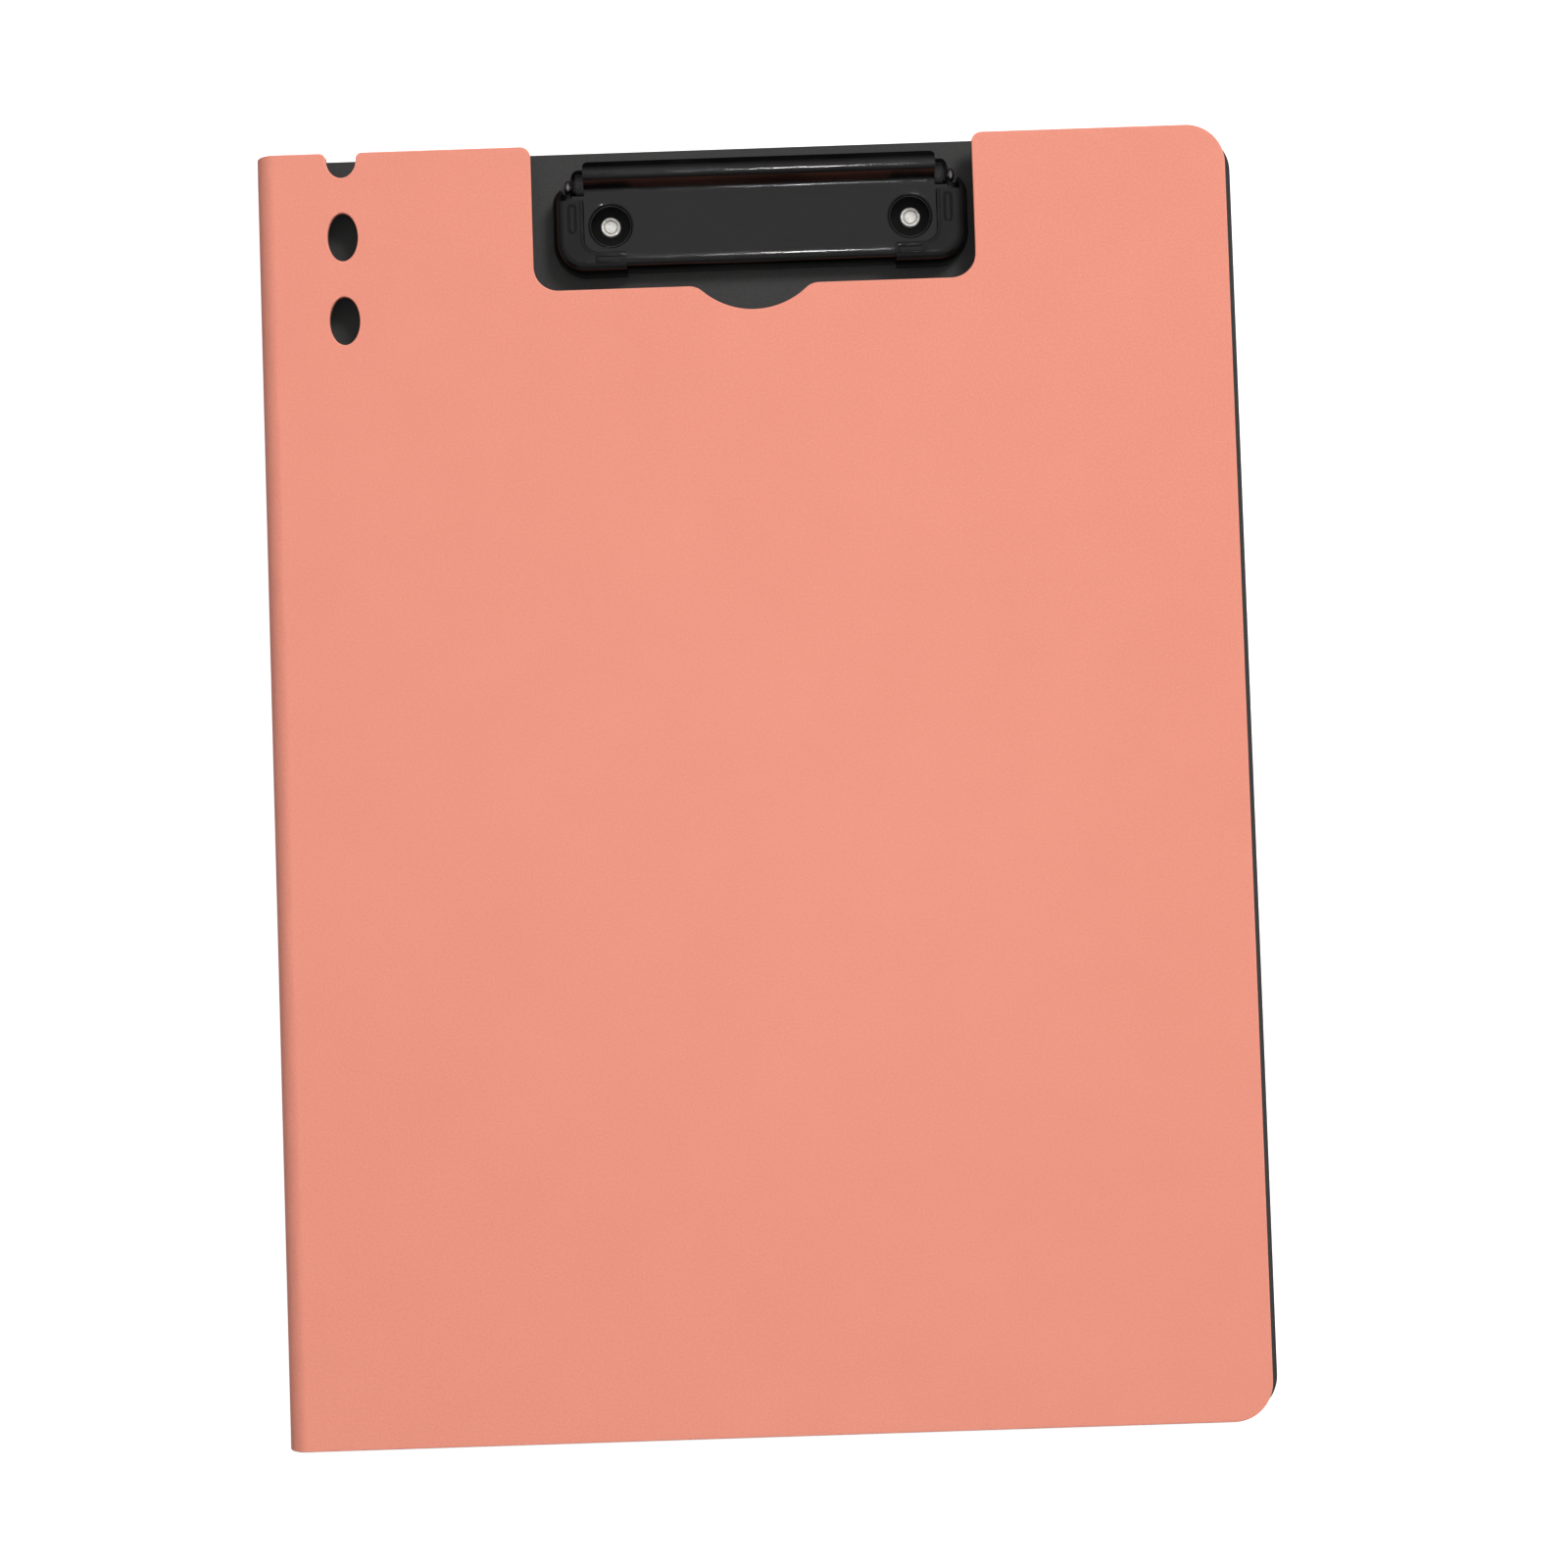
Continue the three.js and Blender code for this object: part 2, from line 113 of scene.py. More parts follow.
def arc(x, y, r, start, end, steps, ry=None):
    """Points on an arc about (x, y), from one angle to another in degrees."""
    ry = r if ry is None else ry
    angles = (math.radians(start + (end - start) * i / steps) for i in range(steps + 1))
    return [(x + r * math.cos(a), y + ry * math.sin(a)) for a in angles]


def panel_start(left, right):
    """The outline of a panel from its left foot round to the head of its right edge."""
    points = [(left, -HEAD)]
    points += arc(right - CORNER_R, CORNER_R - HEAD, CORNER_R, -90, 0, 24)
    points += arc(right - CORNER_R, HEAD - CORNER_R, CORNER_R, 0, 90, 24)
    return points


def window_outline():
    """The clip window and its thumb notch, from the right end to the left end."""
    w = WINDOW
    rise = THUMB["radius"] - THUMB["depth"]
    shoulder = THUMB["shoulder"]
    reach = math.sqrt((THUMB["radius"] + shoulder) ** 2 - (rise + shoulder) ** 2)
    meet = math.degrees(math.atan2(rise + shoulder, reach))
    points = arc(w["right"] + w["outer_r"], HEAD - w["outer_r"], w["outer_r"], 90, 180, 12)
    points += arc(w["right"] - w["inner_r"], w["bottom"] + w["inner_r"], w["inner_r"], 0, -90, 20)
    points += arc(THUMB["x"] + reach, w["bottom"] - shoulder, shoulder, 90, 180 - meet, 10)
    points += arc(THUMB["x"], w["bottom"] + rise, THUMB["radius"], -meet, meet - 180, 28)[1:]
    points += arc(THUMB["x"] - reach, w["bottom"] - shoulder, shoulder, meet, 90, 10)[1:]
    points += arc(w["left"] + w["inner_r"], w["bottom"] + w["inner_r"], w["inner_r"], -90, -180, 20)
    points += arc(w["left"] - w["outer_r"], HEAD - w["outer_r"], w["outer_r"], 0, 90, 12)
    return points


def open_slot_outline():
    """The half oval that is open at the head, from right to left."""
    s = SLOT
    depth = HEAD - s["shoulder"] - (s["lowest"] + 2 * s["pitch"] - s["half_length"])
    corner = s["half_width"] + s["shoulder"]
    y = HEAD - s["shoulder"]
    points = arc(s["x"] + corner, y, s["shoulder"], 90, 180, 10)
    points += arc(s["x"], y, s["half_width"], 0, -180, 28, depth)[1:]
    points += arc(s["x"] - corner, y, s["shoulder"], 0, 90, 10)[1:]
    return points


def front_loops():
    outline = panel_start(SPINE_X, cover_high.x)
    outline += window_outline() + open_slot_outline() + [(SPINE_X, HEAD)]
    loops = [outline]
    for i in range(2):
        y = SLOT["lowest"] + i * SLOT["pitch"]
        loops.append(arc(SLOT["x"], y, SLOT["half_width"], 360, 0, 48, SLOT["half_length"])[:-1])
    return loops


# ---- mesh building ----

def make_piece(name, points, faces):
    """A smooth mesh object from points in millimetres."""
    mesh = bpy.data.meshes.new(name)
    mesh.from_pydata([Vector(p) * MM for p in points], [], faces)
    mesh.polygons.foreach_set("use_smooth", [True] * len(mesh.polygons))
    obj = bpy.data.objects.new(name, mesh)
    bpy.context.scene.collection.objects.link(obj)
    return obj


def tidy_mesh(obj, outward=True):
    """Merges doubled points and, on a closed mesh, turns all faces outwards."""
    bm = bmesh.new()
    bm.from_mesh(obj.data)
    bmesh.ops.remove_doubles(bm, verts=bm.verts, dist=0.002 * MM)
    bmesh.ops.dissolve_degenerate(bm, dist=0.001 * MM, edges=bm.edges)
    if outward:
        bmesh.ops.recalc_face_normals(bm, faces=bm.faces)
    bm.to_mesh(obj.data)
    bm.free()


def even_shading(obj, sharp=40):
    """Flat faces stay flat and soft edges stay soft; edges over the angle are crisp."""
    obj.data.set_sharp_from_angle(angle=math.radians(sharp))
    modifier = obj.modifiers.new("even_shading", "WEIGHTED_NORMAL")
    modifier.keep_sharp = True
    modifier.weight = 80


def apply_modifiers(obj):
    graph = bpy.context.evaluated_depsgraph_get()
    mesh = bpy.data.meshes.new_from_object(obj.evaluated_get(graph))
    old = obj.data
    obj.modifiers.clear()
    obj.data = mesh
    mesh.name = obj.name
    bpy.data.meshes.remove(old)


def round_edges(obj, width, segments=2, angle=50):
    modifier = obj.modifiers.new("round_edges", "BEVEL")
    modifier.width = width * MM
    modifier.segments = segments
    modifier.limit_method = "ANGLE"
    modifier.angle_limit = math.radians(angle)
    modifier.harden_normals = False


def inset_vectors(loop, inset):
    """How far each point of a closed loop moves so that every side moves in by its own inset(a, b)."""
    count = len(loop)
    sides = []
    for i in range(count):
        (ax, ay), (bx, by) = loop[i], loop[(i + 1) % count]
        length = math.hypot(bx - ax, by - ay)
        sides.append(((ay - by) / length, (bx - ax) / length, inset(loop[i], loop[(i + 1) % count])))
    moves = []
    for i in range(count):
        ax, ay, a = sides[i - 1]
        bx, by, b = sides[i]
        cross = ax * by - ay * bx
        if abs(cross) < 0.02:
            moves.append(((ax + bx) / 2 * max(a, b), (ay + by) / 2 * max(a, b)))
        else:
            moves.append(((a * by - b * ay) / cross, (b * ax - a * bx) / cross))
    return moves


def rounded_sheet(name, loops, bottom, top, edge, steps=3):
    """A flat sheet with rounded cut edges. The side against the spine stays square."""

    def inset(a, b):
        at_spine = abs(a[0] - SPINE_X) < 1e-3 and abs(b[0] - SPINE_X) < 1e-3
        return 0.0 if at_spine else edge

    quarter = [math.radians(90 * i / steps) for i in range(steps + 1)]
    rings = [(1 - math.sin(a), bottom + edge * (1 - math.cos(a))) for a in quarter]
    rings += [(1 - math.sin(a), top - edge * (1 - math.cos(a))) for a in reversed(quarter)]
    points, faces, caps = [], [], ([], [])
    for loop in loops:
        moves = inset_vectors(loop, inset)
        first, count = len(points), len(loop)
        for share, z in rings:
            points += [(x + dx * share, y + dy * share, z) for (x, y), (dx, dy) in zip(loop, moves)]
        for k in range(len(rings) - 1):
            a, b = first + k * count, first + (k + 1) * count
            faces += [(a + i, a + (i + 1) % count, b + (i + 1) % count, b + i) for i in range(count)]
        caps[0].append(list(range(first, first + count)))
        last = first + (len(rings) - 1) * count
        caps[1].append(list(range(last, last + count)))
    for cap in caps:
        order = [i for ring in cap for i in ring]
        for triangle in tessellate_polygon([[Vector(points[i]) for i in ring] for ring in cap]):
            faces.append(tuple(order[i] for i in triangle))
    obj = make_piece(name, points, faces)
    tidy_mesh(obj)
    even_shading(obj)
    return obj


def band(name, angles, outer, inner, edge, steps=3):
    """A stretch of the rounded spine, along the whole folder. outer and inner give radii from an angle."""
    quarter = [math.radians(90 * i / steps) for i in range(steps + 1)]
    rings = [(edge * (1 - math.sin(a)), HEAD - edge * (1 - math.cos(a))) for a in quarter]
    rings = [(inset, -y) for inset, y in rings] + [(inset, y) for inset, y in reversed(rings)]
    count = len(angles)
    points, faces = [], []
    for inset, y in rings:
        for radius, sign in ((outer, -1), (inner, 1)):
            for angle in angles:
                r = radius(angle) + sign * inset
                a = math.radians(angle)
                points.append((SPINE_X + r * math.cos(a), y, BEND_R + r * math.sin(a)))
    for k in range(len(rings) - 1):
        a, b = 2 * count * k, 2 * count * (k + 1)
        for i in range(count - 1):
            faces.append((a + i, a + i + 1, b + i + 1, b + i))
            faces.append((b + count + i, b + count + i + 1, a + count + i + 1, a + count + i))
        for i in (0, count - 1):
            faces.append((a + i, b + i, b + count + i, a + count + i))
    for first in (0, 2 * count * (len(rings) - 1)):
        for i in range(first, first + count - 1):
            faces.append((i, i + 1, i + count + 1, i + count))
    obj = make_piece(name, points, faces)
    tidy_mesh(obj)
    even_shading(obj)
    return obj


def grid_faces(rows, columns, first=0, closed=False):
    wrap = columns if closed else columns - 1
    faces = []
    for r in range(rows - 1):
        for c in range(wrap):
            a, b = first + r * columns + c, first + r * columns + (c + 1) % columns
            faces.append((a, b, b + columns, a + columns))
    return faces


def ring_body(name, sections, closed=False):
    """A solid from closed sections that follow each other. Its ends are capped, or joined if closed."""
    columns = len(sections[0])
    points = [p for section in sections for p in section]
    faces = grid_faces(len(sections), columns, closed=True)
    if closed:
        last = (len(sections) - 1) * columns
        for c in range(columns):
            d = (c + 1) % columns
            faces.append((last + c, last + d, d, c))
    else:
        faces.append(tuple(range(columns)))
        faces.append(tuple(range(len(points) - columns, len(points))))
    obj = make_piece(name, points, faces)
    tidy_mesh(obj)
    return obj


def turned_z(name, profile, x, y, steps=64):
    """A body of revolution about an upright axis. The profile is (radius, z) from axis to axis."""
    sections = []
    for r, z in profile:
        r = max(r, 0.0005)
        sections.append([(x + px, y + py, z) for px, py in arc(0, 0, r, 0, 360, steps)[:-1]])
    obj = ring_body(name, sections)
    even_shading(obj)
    return obj


def turned_x(name, profile, steps=40):
    """A body of revolution about the clip's rod. The profile is (x, radius) from end to end."""
    sections = []
    for x, r in profile:
        r = max(r, 0.0005)
        sections.append([(x, PIVOT_Y + py, PIVOT_Z + pz) for py, pz in arc(0, 0, r, 0, 360, steps)[:-1]])
    obj = ring_body(name, sections)
    even_shading(obj)
    return obj


def mirrored(obj, name):
    """A copy on the other side of the clip's middle."""
    copy = obj.copy()
    copy.data = obj.data.copy()
    copy.name = copy.data.name = name
    bpy.context.scene.collection.objects.link(copy)
    bm = bmesh.new()
    bm.from_mesh(copy.data)
    for v in bm.verts:
        v.co.x = 2 * CLIP_X * MM - v.co.x
    bmesh.ops.reverse_faces(bm, faces=bm.faces)
    bm.to_mesh(copy.data)
    bm.free()
    return copy


def shift_x(obj, distance):
    for v in obj.data.vertices:
        v.co.x += distance * MM


def join(objects, name):
    """Joins mesh objects into the first one."""
    bm = bmesh.new()
    for obj in objects:
        bm.from_mesh(obj.data)
    target = objects[0]
    bm.to_mesh(target.data)
    bm.free()
    for obj in objects[1:]:
        bpy.data.objects.remove(obj)
    target.name = target.data.name = name
    return target


# ---- materials ----

def material(name):
    made = bpy.data.materials.new(name)
    made.use_nodes = True
    nodes, links = made.node_tree.nodes, made.node_tree.links
    shader = next(n for n in nodes if n.type == "BSDF_PRINCIPLED")
    place = nodes.new("ShaderNodeTexCoord")
    return made, nodes, links, shader, place.outputs["Object"]


def noise(nodes, links, place, scale, detail=2.0, rough=0.5):
    """Noise whose grains are about 1 / scale metres across."""
    made = nodes.new("ShaderNodeTexNoise")
    made.inputs["Scale"].default_value = scale
    made.inputs["Detail"].default_value = detail
    made.inputs["Roughness"].default_value = rough
    links.new(place, made.inputs["Vector"])
    return made.outputs["Fac"]


def spread(nodes, links, value, low, high, start=0.3, end=0.7):
    made = nodes.new("ShaderNodeMapRange")
    made.inputs["From Min"].default_value = start
    made.inputs["From Max"].default_value = end
    made.inputs["To Min"].default_value = low
    made.inputs["To Max"].default_value = high
    links.new(value, made.inputs["Value"])
    return made.outputs["Result"]


def tinted(nodes, links, value, dark, light, start=0.3, end=0.7):
    ramp = nodes.new("ShaderNodeValToRGB")
    ramp.color_ramp.elements[0].position = start
    ramp.color_ramp.elements[0].color = (*dark, 1)
    ramp.color_ramp.elements[1].position = end
    ramp.color_ramp.elements[1].color = (*light, 1)
    links.new(value, ramp.inputs["Fac"])
    return ramp.outputs["Color"]


def bumped(nodes, links, shader, height, distance, strength):
    made = nodes.new("ShaderNodeBump")
    made.inputs["Strength"].default_value = strength
    made.inputs["Distance"].default_value = distance
    links.new(height, made.inputs["Height"])
    links.new(made.outputs["Normal"], shader.inputs["Normal"])


def frosted_sheet(name, dark, light, roughness):
    """Polypropylene sheet with a fine sandy grain."""
    made, nodes, links, shader, place = material(name)
    grain = noise(nodes, links, place, 1900, 3, 0.6)
    cloud = noise(nodes, links, place, 45, 3, 0.55)
    mix = nodes.new("ShaderNodeMix")
    mix.data_type = "FLOAT"
    mix.inputs[0].default_value = 0.18
    links.new(grain, mix.inputs[2])
    links.new(cloud, mix.inputs[3])
    links.new(tinted(nodes, links, mix.outputs[0], dark, light, 0.36, 0.64), shader.inputs["Base Color"])
    links.new(spread(nodes, links, grain, roughness - 0.06, roughness + 0.08), shader.inputs["Roughness"])
    shader.inputs["Specular IOR Level"].default_value = 0.35
    bumped(nodes, links, shader, grain, 0.00006, 0.5)
    return made


def gloss_paint(name, roughness, coat):
    """Black stoved enamel on pressed steel: a faint orange peel under an even gloss with a dusty haze."""
    made, nodes, links, shader, place = material(name)
    peel = noise(nodes, links, place, 420, 2)
    haze = noise(nodes, links, place, 90, 4, 0.6)
    tone = tinted(nodes, links, haze, (0.0016, 0.0016, 0.0017), (0.0034, 0.0034, 0.0034))
    links.new(tone, shader.inputs["Base Color"])
    links.new(spread(nodes, links, haze, roughness - 0.03, roughness + 0.04), shader.inputs["Roughness"])
    shader.inputs["Coat Weight"].default_value = coat
    shader.inputs["Coat Roughness"].default_value = 0.1
    shader.inputs["Specular IOR Level"].default_value = 0.5 if coat else 0.2
    bumped(nodes, links, shader, peel, 0.00001, 0.35)
    return made


def moulded_plastic():
    """Black moulded plastic with a fine grain and a soft sheen."""
    made, nodes, links, shader, place = material("black_plastic")
    grain = noise(nodes, links, place, 1400, 2)
    haze = noise(nodes, links, place, 130, 3)
    tone = tinted(nodes, links, haze, (0.002, 0.002, 0.0022), (0.005, 0.005, 0.005))
    links.new(tone, shader.inputs["Base Color"])
    links.new(spread(nodes, links, haze, 0.15, 0.24), shader.inputs["Roughness"])
    bumped(nodes, links, shader, grain, 0.00001, 0.3)
    return made


def bright_metal(name, dark, light, rough_low, rough_high, scale, metallic=1.0):
    made, nodes, links, shader, place = material(name)
    fine = noise(nodes, links, place, scale, 3, 0.6)
    links.new(tinted(nodes, links, fine, dark, light), shader.inputs["Base Color"])
    links.new(spread(nodes, links, fine, rough_low, rough_high), shader.inputs["Roughness"])
    shader.inputs["Metallic"].default_value = metallic
    bumped(nodes, links, shader, fine, 0.00001, 0.3)
    return made


coral = frosted_sheet("coral_sheet", (0.74, 0.262, 0.188), (0.80, 0.295, 0.215), 0.5)
dark_grey = frosted_sheet("dark_sheet", (0.035, 0.0345, 0.034), (0.047, 0.0465, 0.046), 0.55)
paint = gloss_paint("black_paint", 0.18, 0.4)
# Painted shade: a rougher copy of the black paint with no coat and less reflection, so the base plate under
# the jaw looks as dark as shadow.
shaded_paint = gloss_paint("black_paint_dulled_as_shade", 0.5, 0.0)
plastic = moulded_plastic()
nickel = bright_metal("nickel", (0.80, 0.78, 0.74), (0.96, 0.94, 0.90), 0.26, 0.4, 1500, 0.5)
steel = bright_metal("spring_steel", (0.30, 0.30, 0.31), (0.45, 0.45, 0.46), 0.25, 0.4, 2200)


def dress(obj, finish, slot, *nodes):
    """Gives a piece its finish and hides the CAD nodes it stands for."""
    if obj.data.materials:
        obj.data.materials.clear()
    obj.data.materials.append(finish)
    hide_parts(*nodes)
    return obj


# ---- folder ----

def board_loops():
    return [panel_start(SPINE_X, board_high.x) + [(SPINE_X, HEAD)]]


front_cover = rounded_sheet("cover_front_sheet", front_loops(), cover_low.z, cover_high.z, CUT_EDGE)
dress(front_cover, coral, "coral_sheet", "front_cover")
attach(front_cover, "front")

front_lining = rounded_sheet(
    "cover_front_lining", front_loops(), lining_low.z, lining_high.z, LINING_EDGE
)
dress(front_lining, dark_grey, "dark_sheet", "front_lining")
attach(front_lining, "front")

back_cover = rounded_sheet("cover_back_sheet", board_loops(), back_low.z, back_high.z, CUT_EDGE)
dress(back_cover, coral, "coral_sheet", "back_cover")
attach(back_cover, "back")

writing_board = rounded_sheet("board_panel", board_loops(), board_low.z, board_high.z, CUT_EDGE)
dress(writing_board, dark_grey, "dark_sheet", "writing_board")
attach(writing_board, "back")

SHEET = cover_high.z - cover_low.z
LINING = lining_high.z - lining_low.z
EDGE_ANGLE = 180 - SPINE_HALF_ANGLE


def angles_between(start, end, step=2.5):
    count = round((end - start) / step)
    return [start + (end - start) * i / count for i in range(count + 1)]


spine_angles = angles_between(EDGE_ANGLE, 360 - EDGE_ANGLE)
spine_cover = band(
    "cover_spine_sheet", spine_angles, lambda a: BEND_R, lambda a: BEND_R - SHEET, CUT_EDGE
)
dress(spine_cover, coral, "coral_sheet", "spine_cover")
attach(spine_cover, "spine")

spine_lining = band(
    "cover_spine_lining", spine_angles,
    lambda a: BEND_R - SHEET, lambda a: BEND_R - SHEET - LINING, LINING_EDGE
)
dress(spine_lining, dark_grey, "dark_sheet", "spine_lining")
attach(spine_lining, "spine")


def crease(name, start, end, node):
    """The thin living hinge: the full sheet at both ends, thinned on the inside between them."""

    def inner(angle):
        share = (angle - start) / (end - start)
        thinned = math.sin(math.pi * share) ** 0.6 if 0 < share < 1 else 0
        return BEND_R - SHEET + (SHEET - WEB) * thinned

    obj = band(name, angles_between(start, end, 1.25), lambda a: BEND_R, inner, CUT_EDGE)
    obj.data.materials.append(coral)
    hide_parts(node)
    return obj


front_crease = crease("cover_front_crease", 90, EDGE_ANGLE, "front_crease")
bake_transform(front_crease)
back_crease = crease("cover_back_crease", 360 - EDGE_ANGLE, 270, "back_crease")
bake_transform(back_crease)


# ---- clip, drawn about its own middle and moved to CLIP_X at the end ----

def jaw_stations():
    """Points round the jaw's outline from rear left to rear right: place, outward normal and wall foot."""
    half, front, rear = JAW["half"], JAW["front"], JAW["rear"]
    side_foot = JAW["foot"] + 1.5
    raised_foot = JAW["top"] - STEEL - 0.05
    corners = [
        (rear - JAW_R["rear"], -1, JAW_R["rear"], 100, 180, 16),
        (front + JAW_R["front"], -1, JAW_R["front"], 180, 270, 24),
        (front + JAW_R["front"], 1, JAW_R["front"], 270, 360, 24),
        (rear - JAW_R["rear"], 1, JAW_R["rear"], 0, 80, 16),
    ]
    stations = []
    for y, side, r, start, end, steps in corners:
        x = side * (half - r)
        for i in range(steps + 1):
            angle = start + (end - start) * i / steps
            nx, ny = math.cos(math.radians(angle)), math.sin(math.radians(angle))
            px, py = x + r * nx, y + r * ny
            if r == JAW_R["rear"]:
                rise = min(max((REAR_GAP_HALF + 0.3 - abs(px)) / 0.6, 0), 1) if ny > 0 else 0
                foot = side_foot + (raised_foot - side_foot) * rise * rise * (3 - 2 * rise)
            else:
                share = min(max((py - front - 1) / 5, 0), 1)
                foot = JAW["foot"] + (side_foot - JAW["foot"]) * share * share * (3 - 2 * share)
            stations.append((px, py, nx, ny, foot))
    return stations


def edge_section(foot, top, edge, count):
    """(inset, z) from a wall's foot up and over a rounded edge to the flat top."""
    spring = top - edge
    start = math.asin(min(max((foot - spring) / edge, 0), 1))
    wall = max(spring - foot, 0)
    length = wall + edge * (math.pi / 2 - start)
    section = []
    for i in range(count):
        s = length * i / (count - 1)
        if s < wall:
            section.append((0, foot + s))
        else:
            a = start + (s - wall) / edge
            section.append((edge * (1 - math.cos(a)), spring + edge * math.sin(a)))
    return section


def path_of_bends(start, moves, step=5):
    """A path in a plane: each move is a straight run and then an arc. A left turn is positive."""
    (u, v), heading = start, 0.0
    path = [(u, v)]
    for run, radius, turn in moves:
        if run:
            u, v = u + run * math.cos(heading), v + run * math.sin(heading)
            path.append((u, v))
        count = math.ceil(abs(turn) / step)
        for _ in range(count):
            part = math.radians(turn) / count
            chord = 2 * radius * math.sin(abs(part) / 2)
            heading += part / 2
            u, v = u + chord * math.cos(heading), v + chord * math.sin(heading)
            heading += part / 2
            path.append((u, v))
    return path


def jaw_plate():
    stations = jaw_stations()
    count = 20
    points, faces = [], []
    for px, py, nx, ny, foot in stations:
        for inset, z in edge_section(foot, JAW["top"], JAW_R["edge"], count):
            points.append((px - nx * inset, py - ny * inset, z))
    faces += grid_faces(len(stations), count)

    top = JAW["top"]
    lip_start = JAW["rear"] - 1.6
    tuck = lip_start - 0.75
    inner = [(px - nx * JAW_R["edge"], py - ny * JAW_R["edge"]) for px, py, nx, ny, _ in stations]
    columns = [-1, -0.5, 0, 0.5, 1]
    outline = inner + [(EAR["outer"] - 0.3, tuck), (LIP_HALF, tuck)]
    outline += [(LIP_HALF * c, lip_start) for c in reversed(columns)]
    outline += [(-LIP_HALF, tuck), (0.3 - EAR["outer"], tuck)]
    roll, hole = ACCESS["roll"], ACCESS["r"]
    steps = 56
    hole_rings = [(hole + roll - x, top - roll + z) for z, x in arc(0, 0, roll, 0, 90, 10)]
    hole_rings.append((hole, top - roll - 0.45))
    loops = [outline]
    for side in (-1, 1):
        first = len(points)
        for r, z in hole_rings:
            points += [(x, y, z) for x, y in arc(side * ACCESS["x"], ACCESS["y"], r, 360, 0, steps)[:-1]]
        faces += grid_faces(len(hole_rings), steps, first, closed=True)
        loops.append(arc(side * ACCESS["x"], ACCESS["y"], hole + roll, 360, 0, steps)[:-1])
    first = len(points)
    flat = [(x, y, top) for loop in loops for x, y in loop]
    points += flat
    for triangle in tessellate_polygon([[Vector((x, y, 0)) for x, y in loop] for loop in loops]):
        faces.append(tuple(first + i for i in triangle))

    first = len(points)
    profile = path_of_bends((lip_start, top), [(0, 1.2, 55), (2.4, 2.3, -90), (1.8, 0, 0)])
    corner = 1.4
    length = 1.8
    tail = profile[-2]
    rows = [(y, z, LIP_HALF) for y, z in profile[:-1]]
    for i in range(1, 9):
        s = length - corner + corner * math.sin(math.radians(90 * i / 8))
        narrow = corner * (1 - math.cos(math.radians(90 * i / 8)))
        share = s / length
        y, z = (tail[0] + (profile[-1][0] - tail[0]) * share, tail[1] + (profile[-1][1] - tail[1]) * share)
        rows.append((y, z, LIP_HALF - narrow))
    for y, z, half in rows:
        points += [(half * c, y, z) for c in columns]
    faces += grid_faces(len(rows), len(columns), first)

    obj = make_piece("jaw_pressing", points, faces)
    tidy_mesh(obj)
    bm = bmesh.new()
    bm.from_mesh(obj.data)
    largest = max(bm.faces, key=lambda f: f.calc_area())
    if largest.normal.z < 0:
        bmesh.ops.reverse_faces(bm, faces=bm.faces)
    bm.to_mesh(obj.data)
    bm.free()
    modifier = obj.modifiers.new("sheet_steel", "SOLIDIFY")
    modifier.thickness = STEEL * MM
    modifier.offset = -1
    modifier.use_even_offset = True
    round_edges(obj, 0.22, 2, 60)
    apply_modifiers(obj)
    return obj


def ear():
    """The folded ear at the right end: a domed shell about the rod, with a flat outer cheek."""
    sections = []
    hole = EAR["hole"]
    lobe_start = EAR_LOBE["start"]
    for i in range(72):
        angle = 5 * i
        lobe = 0.0
        if angle < lobe_start or angle > 180:
            past_end = lobe_start + 360 - angle
            below = lobe_start - angle if angle < lobe_start else min(angle - 180, past_end)
            lobe = min(below / EAR_LOBE["blend"], 1)
            lobe = lobe * lobe * (3 - 2 * lobe)
        r = EAR["r"] + (EAR["lower_r"] - EAR["r"]) * lobe
        inner_x = EAR["inner"] + (EAR["outer"] - STEEL - EAR["inner"]) * min(lobe * 3, 1)
        c = EAR["dome"] + (0.3 - EAR["dome"]) * min(lobe * 2, 1)
        profile = [(inner_x, r), (EAR["outer"] - c, r)]
        profile += [(x, y) for x, y in arc(EAR["outer"] - c, r - c, c, 90, 0, 8)][1:]
        profile += [(EAR["outer"], hole), (EAR["outer"] - STEEL, hole)]
        profile += [(EAR["outer"] - STEEL, r - STEEL), (inner_x, r - STEEL)]
        a = math.radians(angle)
        sections.append([(x, PIVOT_Y + q * math.cos(a), PIVOT_Z + q * math.sin(a)) for x, q in profile])
    return ring_body("ear", sections, closed=True)


jaw = jaw_plate()
right_ear = ear()
shift_x(jaw, CLIP_X)
shift_x(right_ear, CLIP_X)
left_ear = mirrored(right_ear, "left_ear")
jaw = join([jaw, right_ear, left_ear], "jaw_pressing")
even_shading(jaw, 35)
dress(jaw, paint, "black_paint", "clip_jaw_plate")
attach(jaw, "jaw")


